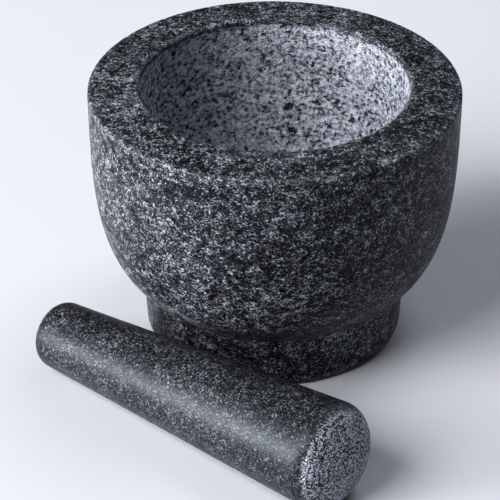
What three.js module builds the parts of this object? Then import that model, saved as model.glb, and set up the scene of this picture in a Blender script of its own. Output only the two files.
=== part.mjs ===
// A granite molcajete: a thick-walled mortar on a solid round foot, turned from one block of stone,
// and its tapered stone pestle lying on its side next to it.
// Millimetres, +Z up. The origin is the centre of the mortar's flat foot, at the height of the table.
import * as THREE from "three";

// Mortar: radii from its own axis, heights from the table
const BODY_RADIUS = 75;
const BODY_HEIGHT = 110; // to the outer edge of the rim
const MOUTH_RADIUS = 54;
const RIM_RISE = 1.6; // the rim's top slopes up towards the mouth by this much
const RIM_ROUND = 1.5;
const HOLLOW_DEPTH = 74; // from the mouth to the floor of the hollow
const HOLLOW_SQUARENESS = 2.6; // 2 is an ellipse, and more keeps the upper wall steeper
const FOOT_RADIUS = 53;
const FOOT_HEIGHT = 24;
const FOOT_FLARE = 1; // how much wider the foot is where it meets the belly
const FOOT_ROUND = 4;
const FOOT_COVE = 3; // the hollow corner between the foot and the belly
const BELLY_LOW_HANDLE = [76, 39]; // the belly leaves the foot towards this point
const BELLY_HIGH_HANDLE = [74.2, 75]; // and reaches the rim from this one

// Pestle: lengths along its own axis, from the tip of the small end
const PESTLE_LENGTH = 158.6;
const SMALL_END = { radius: 13.95, round: 5.3, dome: 23 };
const LARGE_END = { radius: 21.45, round: 10, dome: 34 };

// Where the pestle lies: the place of its small tip and the direction of its large end
const PESTLE_TIP = [-91.5, -31.2];
const PESTLE_TURN = THREE.MathUtils.degToRad(-40.9);

const MORTAR_STEPS = 72;
const PESTLE_STEPS = 36;

const mortarStone = new THREE.MeshStandardMaterial({ color: 0x3c3e40, roughness: 0.55, metalness: 0 });
const pestleStone = new THREE.MeshStandardMaterial({ color: 0x353739, roughness: 0.45, metalness: 0 });

// Points of an arc in the plane of a profile, turning anticlockwise, with angles in radians
function arc(centreX, centreY, radius, from, to, steps) {
  return new THREE.EllipseCurve(centreX, centreY, radius, radius, from, to).getPoints(steps);
}

// The foot's outline: its flat underside, its rounded edge and its slightly flared side
function footOutline() {
  const edge = arc(FOOT_RADIUS - FOOT_ROUND, FOOT_ROUND, FOOT_ROUND, -Math.PI / 2, 0, 4);
  return [new THREE.Vector2(0, 0), ...edge];
}

// The belly's outline, from the cove above the foot to the upright wall below the rim
function bellyOutline(wallTop) {
  const corner = new THREE.Vector2(FOOT_RADIUS + FOOT_FLARE, FOOT_HEIGHT);
  const belly = new THREE.CubicBezierCurve(
    corner,
    new THREE.Vector2(...BELLY_LOW_HANDLE),
    new THREE.Vector2(...BELLY_HIGH_HANDLE),
    new THREE.Vector2(BODY_RADIUS, wallTop),
  );
  const start = FOOT_COVE / belly.getLength();
  const below = new THREE.Vector2(corner.x, corner.y - FOOT_COVE);
  const cove = new THREE.QuadraticBezierCurve(below, corner, belly.getPointAt(start)).getPoints(3);
  const steps = 14;
  const along = (i) => start + ((1 - start) * (i + 1)) / steps;
  const rest = Array.from({ length: steps }, (_, i) => belly.getPointAt(along(i)));
  return [...cove, ...rest];
}

// The rim's outline: two rounded edges joined by a flat that rises towards the mouth
function rimOutline() {
  const outer = new THREE.Vector2(BODY_RADIUS - RIM_ROUND, BODY_HEIGHT - RIM_ROUND);
  const inner = new THREE.Vector2(MOUTH_RADIUS + RIM_ROUND, outer.y + RIM_RISE);
  const facing = Math.PI / 2 - Math.atan2(inner.y - outer.y, outer.x - inner.x);
  return [
    ...arc(outer.x, outer.y, RIM_ROUND, 0, facing, 3),
    ...arc(inner.x, inner.y, RIM_ROUND, facing, Math.PI, 3),
  ];
}

// The hollow's outline, from just below the mouth to its floor on the axis
function hollowOutline(top) {
  const floor = BODY_HEIGHT + RIM_RISE - HOLLOW_DEPTH;
  const steps = 15;
  return Array.from({ length: steps }, (_, i) => {
    const angle = ((i + 1) / steps) * (Math.PI / 2);
    const radius = i + 1 < steps ? MOUTH_RADIUS * Math.cos(angle) : 0;
    const depth = (top - floor) * Math.sin(angle) ** (2 / HOLLOW_SQUARENESS);
    return new THREE.Vector2(radius, top - depth);
  });
}

function mortar() {
  const rim = rimOutline();
  const belly = bellyOutline(rim[0].y);
  const outline = [...footOutline(), ...belly.slice(0, -1), ...rim, ...hollowOutline(rim.at(-1).y)];
  const mesh = new THREE.Mesh(new THREE.LatheGeometry(outline, MORTAR_STEPS), mortarStone);
  mesh.name = "mortar";
  mesh.rotation.x = Math.PI / 2;
  return mesh;
}

// Half of one rounded end, from its tip on the axis to the start of the taper, with the tip at height 0
function endOutline({ radius, round, dome }) {
  const reach = radius - round;
  const turn = Math.asin(reach / (dome - round));
  const roundHeight = dome - (dome - round) * Math.cos(turn);
  const tip = arc(0, dome, dome, -Math.PI / 2, -Math.PI / 2 + turn, 4);
  const corner = arc(reach, roundHeight, round, -Math.PI / 2 + turn, 0, 5);
  tip[0].x = 0;
  return [...tip, ...corner.slice(1)];
}

function pestle() {
  const small = endOutline(SMALL_END);
  const large = endOutline(LARGE_END).map((p) => new THREE.Vector2(p.x, PESTLE_LENGTH - p.y));
  const outline = [...small, ...large.reverse()];
  const mesh = new THREE.Mesh(new THREE.LatheGeometry(outline, PESTLE_STEPS), pestleStone);
  mesh.name = "pestle";
  mesh.rotation.z = -Math.PI / 2;

  // The taper's lowest line lies flat on the table, so the axis rises by half the taper's angle
  const [from, to] = [small.at(-1), large[0]];
  const rise = Math.atan2(to.x - from.x, to.y - from.y);
  const lying = new THREE.Group();
  lying.add(mesh);
  lying.rotation.y = -rise;
  lying.position.z = from.x * Math.cos(rise) - from.y * Math.sin(rise);

  const placed = new THREE.Group();
  placed.add(lying);
  placed.position.set(...PESTLE_TIP, 0);
  placed.rotation.z = PESTLE_TURN;
  return placed;
}

const molcajete = new THREE.Group();
molcajete.add(mortar(), pestle());

export default molcajete;
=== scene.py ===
"""A granite molcajete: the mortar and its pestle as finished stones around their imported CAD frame."""
import math

import bpy
import numpy as np
from mathutils import Matrix, Vector, noise


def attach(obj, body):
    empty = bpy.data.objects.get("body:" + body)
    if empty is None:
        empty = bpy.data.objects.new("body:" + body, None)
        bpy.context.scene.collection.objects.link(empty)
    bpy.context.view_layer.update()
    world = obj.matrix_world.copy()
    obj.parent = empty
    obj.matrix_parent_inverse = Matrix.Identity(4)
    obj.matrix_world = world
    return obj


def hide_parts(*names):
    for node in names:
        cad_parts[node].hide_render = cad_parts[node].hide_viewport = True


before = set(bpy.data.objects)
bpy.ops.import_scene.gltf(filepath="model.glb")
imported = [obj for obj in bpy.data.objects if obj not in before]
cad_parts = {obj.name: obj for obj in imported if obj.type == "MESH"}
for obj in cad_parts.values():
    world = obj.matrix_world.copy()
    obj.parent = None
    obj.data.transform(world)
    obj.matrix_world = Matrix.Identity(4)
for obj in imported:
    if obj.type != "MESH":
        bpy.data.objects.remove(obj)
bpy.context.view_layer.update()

MM = 0.001  # metres
DAYLIGHT = (0.955, 0.97, 1.0)  # from the windows
SHADE = (0.9, 0.93, 1.0)  # from the rest of the room
SHEEN = (0.82, 0.9, 1.0)  # of the reflections on the stones
TABLE_COLOUR = (0.63, 0.635, 0.665)
TABLE_HALF = 6  # metres

# Mortar, in millimetres: radii from its axis, heights from the table
BODY_RADIUS = 75
BODY_HEIGHT = 110
MOUTH_RADIUS = 54
RIM_RISE = 1.6  # from the rim's outer edge up to the mouth
RIM_ROUND = 1.5
HOLLOW_DEPTH = 74
HOLLOW_SQUARENESS = 2.6  # 2 is an ellipse, and more keeps the upper wall steeper
FOOT_RADIUS = 53
FOOT_HEIGHT = 24
FOOT_FLARE = 1  # how much wider the foot is where it meets the belly
FOOT_ROUND = 4
FOOT_COVE = 3  # the hollow corner between the foot and the belly
BELLY_LOW_HANDLE = (76, 39)  # the belly leaves the foot towards this point
BELLY_HIGH_HANDLE = (74.2, 75)  # and reaches the rim from this one

# Pestle, in millimetres along its own axis from the tip of the small end
PESTLE_LENGTH = 158.6
SMALL_END = {"radius": 13.95, "corner": 5.3, "dome": 23}
LARGE_END = {"radius": 21.45, "corner": 10, "dome": 34}
PESTLE_TIP = (-91.5, -31.2)
PESTLE_TURN = math.radians(-40.9)
WORKED_END = 8.8  # how far the roughened end reaches back from the large tip
RING_SPACING = 1.9  # between the rings that grinding has left on the large end

# How finely the stones are meshed: columns round each, and millimetres between the rows
MORTAR_COLUMNS = 360
PESTLE_COLUMNS = 224
UNDERSIDE_ROWS = 4
FOOT_ROWS = 1.6
WALL_ROWS = 1.35
RIM_ROWS = 0.9
HOLLOW_ROWS = 0.8
SMALL_END_ROWS = 0.8
HANDLE_ROWS = 0.85
LARGE_END_ROWS = 0.55
SAME_POINT = 1e-6

# Carving, in millimetres
BLOWS = ((2.3, 0.22, 0), (3.4, 0.28, 40))  # spacing, depth and seed of each size of hammer blow
PIT_SPACING = 9
PIT_SHARE = 0.5  # of the places that could hold a pit
PIT_DEPTH = 0.8
NICK_DEPTH = 0.3
NICK_REACH = 1.8  # from a rounded edge
RING_DEPTH = 0.05
RINGS_FROM = 6  # behind the large tip, where the rings begin
RINGS_FULL = 4  # and where they are at their full depth
PESTLE_FORCE = 0.16  # of the blows on the pestle, where the mortar's are 1
PESTLE_PITTING = 0.4

# The camera: a long lens looking down at the stones from the front
SENSOR = 36  # millimetres
LENS = 189.7  # millimetres
CAMERA_PLACE = (-0.0099, -0.9228, 0.6196)  # metres
CAMERA_DIP = 32.48  # degrees below level


# ---- Outlines, as lists of (radius, height) points ----

def arc(centre, radius, start, end, steps):
    """Points of an arc, with angles in radians from the outline's radial direction."""
    angles = np.linspace(start, end, steps + 1)
    return [(centre[0] + radius * math.cos(a), centre[1] + radius * math.sin(a)) for a in angles]


def curve(points, steps):
    """Points of a Bezier curve through the first and last of its control points."""
    order = len(points) - 1
    out = []
    for t in np.linspace(0, 1, steps + 1):
        weights = [math.comb(order, k) * t**k * (1 - t) ** (order - k) for k in range(order + 1)]
        out.append(tuple(sum(w * p[axis] for w, p in zip(weights, points)) for axis in (0, 1)))
    return out


def distances_along(line):
    """Each point's distance from the first, along the line."""
    return np.concatenate([[0], np.cumsum(np.hypot(*np.diff(line, axis=0).T))])


def respaced(points, spacing):
    """The same line with its points at an even spacing, ends included."""
    line = np.array(points, float)
    along = distances_along(line)
    count = max(1, round(along[-1] / spacing))
    at = np.linspace(0, along[-1], count + 1)
    return [(float(np.interp(a, along, line[:, 0])), float(np.interp(a, along, line[:, 1]))) for a in at]


def mortar_outline():
    """The stretches of the mortar's outline from the foot's centre to the hollow's floor."""
    corner = (FOOT_RADIUS + FOOT_FLARE, FOOT_HEIGHT)
    outer = (BODY_RADIUS - RIM_ROUND, BODY_HEIGHT - RIM_ROUND)
    inner = (MOUTH_RADIUS + RIM_ROUND, outer[1] + RIM_RISE)
    facing = math.pi / 2 - math.atan2(inner[1] - outer[1], outer[0] - inner[0])
    belly = curve([corner, BELLY_LOW_HANDLE, BELLY_HIGH_HANDLE, (BODY_RADIUS, outer[1])], 400)
    belly = [p for p, length in zip(belly, distances_along(np.array(belly))) if length >= FOOT_COVE]
    foot_edge = arc((FOOT_RADIUS - FOOT_ROUND, FOOT_ROUND), FOOT_ROUND, -math.pi / 2, 0, 8)
    cove = curve([(corner[0], corner[1] - FOOT_COVE), corner, belly[0]], 5)
    rim_outer = arc(outer, RIM_ROUND, 0, facing, 7)
    rim_inner = arc(inner, RIM_ROUND, facing, math.pi, 8)
    floor = BODY_HEIGHT + RIM_RISE - HOLLOW_DEPTH
    angles = np.linspace(0, math.pi / 2, 800)
    radii = MOUTH_RADIUS * np.cos(angles)
    heights = inner[1] - (inner[1] - floor) * np.sin(angles) ** (2 / HOLLOW_SQUARENESS)
    return [
        ("underside", respaced([(0, 0), foot_edge[0]], UNDERSIDE_ROWS)),
        ("foot", foot_edge),
        ("foot", respaced([foot_edge[-1], cove[0]], FOOT_ROWS)),
        ("foot", cove),
        ("wall", respaced(belly, WALL_ROWS)),
        ("edge", rim_outer),
        ("rim", respaced([rim_outer[-1], rim_inner[0]], RIM_ROWS)),
        ("edge", rim_inner),
        ("hollow", respaced(list(zip(radii, heights)), HOLLOW_ROWS)),
    ]


# ---- Turned stones ----

def turned(stretches):
    """The rows of a turned body: their points, outward normals, distances along the outline and kinds."""
    points, kinds = [], []
    for kind, stretch in stretches:
        for point in stretch:
            if points and math.dist(point, points[-1]) < SAME_POINT:
                continue
            points.append(point)
            kinds.append(kind)
    line = np.array(points)
    slope = np.gradient(line, axis=0)
    normal = np.stack([slope[:, 1], -slope[:, 0]], axis=1)
    normal /= np.hypot(normal[:, 0], normal[:, 1])[:, None]
    return line, normal, distances_along(line), np.array(kinds)


def spun(rows, columns):
    """Radial pairs turned into points round the axis, one block of columns for each row."""
    turns = np.arange(columns) * math.tau / columns
    radial = np.stack([np.cos(turns), np.sin(turns)], axis=1)
    out = np.zeros((len(rows), columns, 3))
    out[:, :, :2] = rows[:, None, :1] * radial[None]
    out[:, :, 2] = rows[:, 1:2]
    return out


def closed_faces(rows, columns):
    """Quads between the rings and a fan at each pole, for a body whose first and last rows are points."""

    def ring(row, column):
        return 1 + (row - 1) * columns + column % columns

    top = rows - 2
    last = 1 + top * columns
    faces = [(0, ring(1, c + 1), ring(1, c)) for c in range(columns)]
    for row in range(1, top):
        for c in range(columns):
            faces.append((ring(row, c), ring(row, c + 1), ring(row + 1, c + 1), ring(row + 1, c)))
    faces += [(ring(top, c), ring(top, c + 1), last) for c in range(columns)]
    return faces


def one_pole_each(grid):
    """The grid's points as one list, with the first and last rows kept as single points."""
    return np.concatenate([grid[0, :1], grid[1:-1].reshape(-1, *grid.shape[2:]), grid[-1, :1]])


def for_each_point(values, columns):
    """One value for each row, repeated for all the row's points."""
    return one_pole_each(np.repeat(values[:, None], columns, axis=1))


def stone(name, stretches, columns, dull_from, carve, pitting, place):
    """A turned stone as a mesh. dull_from gives each row's distance into the unpolished zones from the
    rows' points, distances along the outline and kinds. carve gives the depth that a point is cut back
    by. pitting is how strong the holes of lost crystals are. place is the matrix from the stone's own
    axis to the frame."""
    line, normal, along, kinds = turned(stretches)
    points = one_pole_each(spun(line, columns))
    normals = one_pole_each(spun(normal, columns))
    dull = for_each_point(dull_from(line, along, kinds), columns)
    edge = for_each_point(edge_distance(along, kinds), columns)
    pit = np.array([pitting * pits(Vector(p)) for p in points])
    depth = np.array([carve(Vector(p), *rest) for p, *rest in zip(points, dull, edge, pit)])
    depth[0] = depth[1 : 1 + columns].mean()
    depth[-1] = depth[-1 - columns : -1].mean()
    cut_back = points - normals * depth[:, None]
    mesh = bpy.data.meshes.new(name)
    mesh.from_pydata((cut_back * MM).tolist(), [], closed_faces(len(line), columns))
    radius = np.hypot(points[:, 0], points[:, 1])
    for attribute, values in (("dull", dull), ("edge", edge), ("pit", pit), ("radius", radius)):
        mesh.attributes.new(attribute, "FLOAT", "POINT").data.foreach_set("value", values.astype(np.float32))
    mesh.transform(place)
    mesh.shade_smooth()
    made = bpy.data.objects.new(name, mesh)
    bpy.context.collection.objects.link(made)
    return made


def edge_distance(along, kinds):
    """Each row's distance from the nearest rounded edge of the rim, along the outline."""
    marks = along[kinds == "edge"]
    if not len(marks):
        return np.full(len(along), 99.0)
    return np.abs(along[:, None] - marks[None]).min(axis=1)


def step(low, high, value):
    """0 below low and 1 above high, with a smooth rise between."""
    t = min(max((value - low) / (high - low), 0), 1)
    return t * t * (3 - 2 * t)


def craters(point, spacing, depth, seed):
    """The depth left by blows of a pointed hammer, one crater of its own size near each cell's middle."""
    at = point / spacing + Vector((seed, 0, 0))
    distances, centres = noise.voronoi(at)
    force = 0.35 + 0.65 * abs(noise.cell(centres[0] * 7.3))
    reach = 0.35 + 0.4 * force
    return depth * force * max(0, 1 - (distances[0] / reach) ** 2)


def pits(point):
    """From 0 to 1 inside the few larger holes where a whole crystal has come out."""
    distances, centres = noise.voronoi(point / PIT_SPACING)
    chance = abs(noise.cell(centres[0] * 5.1))
    if chance > PIT_SHARE:
        return 0
    ragged = distances[0] + 0.1 * noise.noise(point / 1.3)
    return 1 - step(0.06 + 0.2 * chance, 0.16 + 0.2 * chance, ragged)


def pecked(point, force):
    """Unpolished stone: overlapping blows of a pointed hammer and a slight unevenness."""
    blows = sum(craters(point, *blow) for blow in BLOWS)
    uneven = 0.35 * (1 + noise.noise(point / 17)) + 0.12 * (1 + noise.noise(point / 4.5))
    return force * (blows + uneven)


def honed(point):
    """Smooth stone, never quite true: a slow waviness."""
    return 0.05 * (1 + noise.noise(point / 26)) + 0.012 * (1 + noise.noise(point / 6))


def chipped(point, edge):
    """Small nicks along a rounded edge."""
    near = 1 - step(0.2, NICK_REACH, edge)
    if near <= 0:
        return 0
    nicks = NICK_DEPTH * step(0.4, 0.8, noise.noise(point / 2.2))
    return near * (nicks + 0.05 * (1 + noise.noise(point / 1.4)))


def carved(point, dull, edge, pit, force):
    """How deep a point is cut back, turning from honed to pecked as dull rises through 0."""
    worked = step(-0.6, 1.4, dull)
    rough = pecked(point, force) + PIT_DEPTH * force * pit
    return (1 - worked) * honed(point) + worked * rough + chipped(point, edge)


def mortar():
    """The mortar on its foot, pecked in the hollow and sawn flat underneath."""

    def dull_from(line, along, kinds):
        hollow = along[kinds == "hollow"][0]
        sawn = along[kinds == "underside"][-1]
        return np.maximum(along - hollow, sawn - along)

    def carve(point, dull, edge, pit):
        if point.z < FOOT_ROUND * 0.5:
            return 0
        return carved(point, dull, edge, pit, 1)

    return stone("mortar_stone", mortar_outline(), MORTAR_COLUMNS, dull_from, carve, 1, Matrix())


def end_outline(radius, corner, dome):
    """One rounded end of the pestle, from its tip at height 0 to the start of the taper."""
    reach = radius - corner
    turn = math.asin(reach / (dome - corner))
    height = dome - (dome - corner) * math.cos(turn)
    tip = arc((0, dome), dome, -math.pi / 2, -math.pi / 2 + turn, 60)
    return [(0, 0)] + tip[1:] + arc((reach, height), corner, -math.pi / 2 + turn, 0, 60)[1:]


def pestle():
    """The pestle lying on the lowest line of its taper, pecked on its large end."""
    small = end_outline(**SMALL_END)
    large = [(r, PESTLE_LENGTH - z) for r, z in end_outline(**LARGE_END)][::-1]
    rise = math.atan2(large[0][0] - small[-1][0], large[0][1] - small[-1][1])
    height = small[-1][0] * math.cos(rise) - small[-1][1] * math.sin(rise)
    stretches = [
        ("end", respaced(small, SMALL_END_ROWS)),
        ("handle", respaced([small[-1], large[0]], HANDLE_ROWS)),
        ("end", respaced(large, LARGE_END_ROWS)),
    ]

    def dull_from(line, along, kinds):
        return line[:, 1] - (PESTLE_LENGTH - WORKED_END)

    def carve(point, dull, edge, pit):
        face = step(PESTLE_LENGTH - RINGS_FROM, PESTLE_LENGTH - RINGS_FULL, point.z)
        rings = RING_DEPTH * (1 + math.sin(math.tau * math.hypot(point.x, point.y) / RING_SPACING))
        return carved(point, dull, edge, pit, PESTLE_FORCE) + rings * face

    turn = Matrix.Rotation(PESTLE_TURN, 4, "Z") @ Matrix.Rotation(-rise, 4, "Y")
    lying = turn @ Matrix.Rotation(math.pi / 2, 4, "Y")
    tip = Vector((*PESTLE_TIP, height)) * MM
    place = Matrix.Translation(tip) @ lying
    return stone("pestle_stone", stretches, PESTLE_COLUMNS, dull_from, carve, PESTLE_PITTING, place)


# ---- Materials ----

class Number:
    """A number made by a node, which adds and multiplies like any other."""

    def __init__(self, nodes, socket):
        self.nodes = nodes
        self.socket = socket

    def __add__(self, other):
        return self.nodes.math("ADD", self, other)

    def __sub__(self, other):
        return self.nodes.math("SUBTRACT", self, other)

    def __mul__(self, other):
        return self.nodes.math("MULTIPLY", self, other)

    def __rsub__(self, other):
        return self.nodes.math("SUBTRACT", other, self)

    __radd__ = __add__
    __rmul__ = __mul__


class Nodes:
    """A material's nodes, made and wired so that each formula stays on a line or two."""

    def __init__(self, name):
        self.material = bpy.data.materials.new(name)
        self.material.use_nodes = True
        self.tree = self.material.node_tree
        self.tree.nodes.clear()

    def add(self, kind, inputs, **settings):
        made = self.tree.nodes.new(kind)
        for key, value in settings.items():
            setattr(made, key, value)
        for key, value in inputs.items():
            if isinstance(value, Number):
                value = value.socket
            if isinstance(value, bpy.types.NodeSocket):
                self.tree.links.new(value, made.inputs[key])
            else:
                made.inputs[key].default_value = value
        return made

    def math(self, operation, a, b):
        return Number(self, self.add("ShaderNodeMath", {0: a, 1: b}, operation=operation).outputs[0])

    def vector(self, operation, a, b):
        return self.add("ShaderNodeVectorMath", {0: a, 1: b}, operation=operation).outputs[0]

    def noise(self, at, size, detail=0.0, stretch=0.0):
        inputs = {"Vector": at, "Scale": 1 / size, "Detail": detail, "Distortion": stretch}
        return Number(self, self.add("ShaderNodeTexNoise", inputs).outputs["Fac"])

    def stirred(self, at, size, by):
        """The same place pushed about, so that grains get ragged outlines."""
        inputs = {"Vector": at, "Scale": 1 / size, "Detail": 3.0}
        push = self.add("ShaderNodeTexNoise", inputs).outputs["Color"]
        centred = self.vector("SUBTRACT", push, (0.5, 0.5, 0.5))
        return self.vector("ADD", at, self.vector("MULTIPLY", centred, (2 * by, 2 * by, 2 * by)))

    def grains(self, at, size):
        """A random number from 0 to 1 for each grain of about this size."""
        cells = self.add("ShaderNodeTexVoronoi", {"Vector": at, "Scale": 1 / size})
        split = self.add("ShaderNodeSeparateColor", {0: cells.outputs["Color"]})
        return Number(self, split.outputs[0])

    def hollows(self, at, size):
        """The distance from the nearest cell's middle, in cells."""
        cells = self.add("ShaderNodeTexVoronoi", {"Vector": at, "Scale": 1 / size})
        return Number(self, cells.outputs["Distance"])

    def ridges(self, value, width):
        """1 along the lines where the value is in the middle, falling to 0 at this distance from it."""
        return self.rise(self.math("ABSOLUTE", value - 0.5, 0.0), width, 0.0)

    def rise(self, value, low, high):
        """0 at low and 1 at high, with a smooth change between."""
        inputs = {0: value, 1: low, 2: high, 3: 0.0, 4: 1.0}
        made = self.add("ShaderNodeMapRange", inputs, interpolation_type="SMOOTHSTEP")
        return Number(self, made.outputs[0])

    def ramp(self, value, stops):
        made = self.add("ShaderNodeValToRGB", {0: value})
        elements = made.color_ramp.elements
        while len(elements) < len(stops):
            elements.new(0.5)
        for element, (position, shade) in zip(elements, stops):
            element.position = position
            element.color = (*shade, 1)
        return made.outputs[0]

    def mix(self, share, a, b, blend="MIX"):
        """Two colours mixed, b by this share. The node takes colours at its inputs 6 and 7."""
        inputs = {0: share, 6: a, 7: b}
        return self.add("ShaderNodeMix", inputs, data_type="RGBA", blend_type=blend).outputs[2]

    def attribute(self, name):
        return Number(self, self.add("ShaderNodeAttribute", {}, attribute_name=name).outputs["Fac"])

    def bump(self, height, distance, normal=None):
        inputs = {"Height": height, "Distance": distance * MM}
        if normal:
            inputs["Normal"] = normal
        return self.add("ShaderNodeBump", inputs).outputs[0]


def grey(level):
    """A slightly cool grey of this linear brightness."""
    return (level * 0.965, level, level * 1.14)


# Brightness of the minerals, from the darkest grains to the lightest, where the stone is honed or pecked
HONED = ((0.05, 0.0006), (0.2, 0.004), (0.36, 0.014), (0.5, 0.037), (0.64, 0.082), (0.8, 0.19), (0.95, 0.36))
PECKED = ((0.08, 0.02), (0.2, 0.062), (0.33, 0.17), (0.46, 0.29), (0.62, 0.39), (0.78, 0.5), (0.95, 0.59))
# Near-black painted into the pits of the pecked stone: painted shade inside the holes
PIT_SHADE = (0.016, 0.011, 0.008)
COOL_GRAIN = (0.97, 1.0, 1.03)
WARM_GRAIN = (1.04, 1.0, 0.94)


def shades(stops, level):
    """The stops of a ramp, as greys of this level."""
    return [(position, grey(level * brightness)) for position, brightness in stops]


def granite(
    name, offset, level, clumping, contrast, grain, crushing, spread, ringed, ragged, gloss, shine
):
    """Speckled granite through the whole stone: honed where the attribute dull is below 0, pecked above.
    Of the honed stone, level is how light it is, clumping how far its speckle gathers into patches,
    contrast how far its brightness spreads, gloss its roughness and shine the strength of its
    reflections. Of the pecked stone, grain is the size of its speckle, crushing how light its crushed
    crystals are, spread their contrast and ringed how strongly the grinding rings show. ragged is how
    uneven and wide the border between the two is."""
    n = Nodes(name)
    place = n.add("ShaderNodeTexCoord", {}).outputs["Object"]
    at = n.vector("ADD", n.vector("MULTIPLY", place, (1 / MM, 1 / MM, 1.25 / MM)), offset)
    stirred = n.stirred(at, 1.0, 0.35)

    flecks = n.noise(at, 0.8, stretch=0.5) - 0.5
    strokes = n.ridges(n.noise(at, 1.3, detail=2, stretch=0.6), 0.07) - 0.5
    fine = n.grains(stirred, 0.6) - 0.5
    medium = n.grains(stirred, 1.5) - 0.5
    clumps = 0.5 * n.noise(at, 1.9) + 0.45 * n.noise(at, 3.6) + 0.3 * n.noise(at, 8) - 0.625
    mottle = 0.2 * (n.noise(at, 38) - 0.5)
    speckle = flecks + 0.3 * strokes + 0.3 * fine + 0.14 * medium + clumping * clumps + mottle
    light = contrast * speckle + 0.505
    crystals = 0.38 * (n.grains(stirred, grain) - 0.5) + 0.8 * (n.noise(at, 1.3 * grain) - 0.5)
    rings = n.math("SINE", n.attribute("radius") * (math.tau / RING_SPACING), 0.0)
    crushed = spread * (0.45 * flecks + 0.32 * fine + crystals + 0.5 * clumps + mottle) + ringed * rings + 0.5

    dull = n.attribute("dull")
    border = dull + ragged * (n.noise(at, 1.1, detail=3) - 0.5 + 0.6 * medium)
    worked = n.rise(border, -0.5, ragged)
    worn = n.rise(n.attribute("edge"), 1.1, 0.1) * n.rise(n.noise(at, 1.2, detail=2), 0.42, 0.62)
    pit = n.rise(n.attribute("pit") + 0.9 * (n.noise(at, 0.9, detail=2) - 0.5), 0.3, 0.5)

    colour = n.mix(worked, n.ramp(light, shades(HONED, level)), n.ramp(crushed, shades(PECKED, crushing)))
    colour = n.mix(0.15 * worn, colour, (*grey(0.4), 1))
    tint = n.ramp(n.grains(stirred, 2.2), [(0, COOL_GRAIN), (1, WARM_GRAIN)])
    colour = n.mix(1.0, colour, tint, "MULTIPLY")
    # Painted shade: the pits, and spots round them, are darkened nearly to black
    colour = n.mix(0.9 * pit * worked, colour, (*PIT_SHADE, 1))

    roughness = gloss + 0.14 * fine + 0.4 * worked
    polish = n.bump(0.5 * fine + n.noise(stirred, 0.35, detail=2), 0.012)
    height = n.hollows(stirred, 0.9) + 0.8 * n.noise(at, 0.5, detail=3) + 0.3 * rings - pit
    normal = n.bump(height * worked, 0.5, polish)
    inputs = {"Base Color": colour, "Roughness": roughness, "Normal": normal}
    inputs |= {"Specular IOR Level": shine, "Specular Tint": (*SHEEN, 1)}
    surface = n.add("ShaderNodeBsdfPrincipled", inputs)
    n.add("ShaderNodeOutputMaterial", {"Surface": surface.outputs[0]})
    return n.material


def plain(name, colour):
    """A matt surface of one colour."""
    n = Nodes(name)
    surface = n.add("ShaderNodeBsdfDiffuse", {"Color": (*colour, 1)})
    n.add("ShaderNodeOutputMaterial", {"Surface": surface.outputs[0]})
    return n.material


# ---- The studio ----

def pointed(made, at, target):
    """Puts an object at a place and turns it to face a target."""
    made.location = at
    made.rotation_euler = (Vector(target) - Vector(at)).to_track_quat("-Z", "Y").to_euler()
    bpy.context.collection.objects.link(made)
    return made


def softbox(name, azimuth, elevation, distance, size, power, colour):
    """A square lamp facing the stones, from an azimuth measured from +X towards +Y."""
    lamp = bpy.data.lights.new(name, "AREA")
    lamp.size = size
    lamp.energy = power
    lamp.color = colour
    turn, lift = math.radians(azimuth), math.radians(elevation)
    way = Vector((math.cos(turn) * math.cos(lift), math.sin(turn) * math.cos(lift), math.sin(lift)))
    made = pointed(bpy.data.objects.new(name, lamp), way * distance, (0, 0, 0.05))
    made.visible_camera = False
    return made


def table():
    """The pale table that the stones stand on."""
    mesh = bpy.data.meshes.new("table")
    signs = [(-1, -1), (1, -1), (1, 1), (-1, 1)]
    corners = [(x * TABLE_HALF, y * TABLE_HALF, 0) for x, y in signs]
    mesh.from_pydata(corners, [], [(0, 1, 2, 3)])
    made = bpy.data.objects.new("table", mesh)
    mesh.materials.append(plain("pale_table", TABLE_COLOUR))
    bpy.context.collection.objects.link(made)


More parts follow.
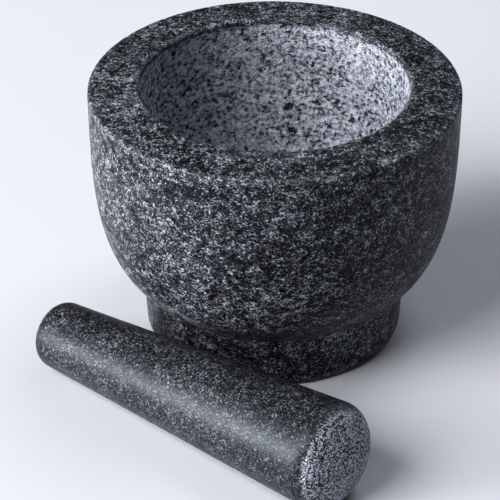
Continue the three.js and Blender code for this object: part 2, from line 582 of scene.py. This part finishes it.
def room(brightness):
    """Plain pale surroundings for the camera, and a dimmer even light from them."""
    world = bpy.data.worlds.new("room")
    world.use_nodes = True
    tree = world.node_tree
    tree.nodes.clear()
    seen = tree.nodes.new("ShaderNodeBackground")
    seen.inputs["Color"].default_value = (0.8, 0.82, 0.87, 1)
    lit = tree.nodes.new("ShaderNodeBackground")
    lit.inputs["Color"].default_value = (*SHADE, 1)
    lit.inputs["Strength"].default_value = brightness
    path = tree.nodes.new("ShaderNodeLightPath")
    mix = tree.nodes.new("ShaderNodeMixShader")
    out = tree.nodes.new("ShaderNodeOutputWorld")
    tree.links.new(path.outputs["Is Camera Ray"], mix.inputs[0])
    tree.links.new(lit.outputs[0], mix.inputs[1])
    tree.links.new(seen.outputs[0], mix.inputs[2])
    tree.links.new(mix.outputs[0], out.inputs["Surface"])
    bpy.context.scene.world = world


def camera():
    """The camera, which looks down but not sideways."""
    lens = bpy.data.cameras.new("camera")
    lens.sensor_width = SENSOR
    lens.lens = LENS
    made = bpy.data.objects.new("camera", lens)
    made.location = CAMERA_PLACE
    made.rotation_euler = (math.radians(90 - CAMERA_DIP), 0, 0)
    bpy.context.collection.objects.link(made)
    bpy.context.scene.camera = made


# ---- The scene ----

bowl = mortar()
bowl.data.materials.append(granite(
    "mortar_granite_look", (0, 0, 0), level=1.07, clumping=1, contrast=1.08,
    grain=1.5, crushing=1.03, spread=1.12, ringed=0.03, ragged=1, gloss=0.44, shine=0.15,
))
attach(bowl, "mortar")
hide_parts("mortar")

rod = pestle()
rod.data.materials.append(granite(
    "pestle_granite_look", (210, 90, 40), level=0.68, clumping=0.5, contrast=0.88,
    grain=0.5, crushing=0.8, spread=2.8, ringed=0.2, ragged=2.8, gloss=0.46, shine=0.31,
))
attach(rod, "pestle")
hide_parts("pestle")

table()
room(brightness=0.105)
softbox("window", azimuth=214, elevation=40, distance=3.4, size=2.2, power=128, colour=DAYLIGHT)
softbox("low_window", azimuth=197, elevation=9, distance=2.6, size=1.0, power=103, colour=DAYLIGHT)
softbox("fill", azimuth=50, elevation=60, distance=3.4, size=1.6, power=33, colour=SHADE)
camera()
bpy.context.scene.view_settings.view_transform = "Standard"
bpy.context.scene.view_settings.look = "Medium High Contrast"
